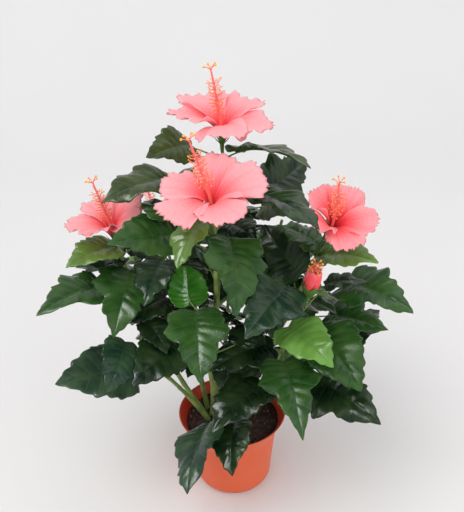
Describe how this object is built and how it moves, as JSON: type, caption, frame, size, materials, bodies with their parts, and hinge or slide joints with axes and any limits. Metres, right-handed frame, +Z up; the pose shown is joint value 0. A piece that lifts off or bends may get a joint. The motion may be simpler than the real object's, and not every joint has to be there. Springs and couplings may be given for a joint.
{
  "type": "artificial potted hibiscus",
  "caption": "Artificial hibiscus shrub with wide pink blooms and a bud among lobed leaves, standing in a plain round pot with a flared rim.",
  "frame": {"origin": "middle of the pot's flat underside", "axes": "+Z up, -Y towards the side with the front blooms, +X to the right seen from there"},
  "size_m": [0.3816, 0.338, 0.5198],
  "materials": {
    "pot": "plain satin orange plastic",
    "fill": "dark crumbs glued on a filling that weighs the pot down",
    "stem": "green plastic over wire",
    "leaf": "coated woven leaves with a slight gloss",
    "petal": "matte printed cloth petals"
  },
  "bodies": {
    "root": {"bloom_back": "petal", "bloom_front": "petal", "bloom_left": "petal", "bloom_right": "petal", "bloom_top": "petal", "bough_back_left": "stem", "bough_back_low": "stem", "bough_back_right": "stem", "bough_bud": "stem", "bough_front": "stem", "bough_left": "stem", "bough_low_front": "stem", "bough_low_left": "stem", "bough_low_right": "stem", "bough_middle": "stem", "bough_right": "stem", "bud_right": "petal", "foliage_back_left": "leaf", "foliage_back_low": "leaf", "foliage_back_right": "leaf", "foliage_back_top": "leaf", "foliage_bud": "leaf", "foliage_front": "leaf", "foliage_inner_left": "leaf", "foliage_inner_low": "leaf", "foliage_inner_right": "leaf", "foliage_left": "leaf", "foliage_low_front": "leaf", "foliage_low_left": "leaf", "foliage_low_right": "leaf", "foliage_middle": "leaf", "foliage_right": "leaf", "foliage_top": "leaf", "main_stem": "stem", "pot": "pot", "potting_fill": "fill"}
  },
  "joints": []
}
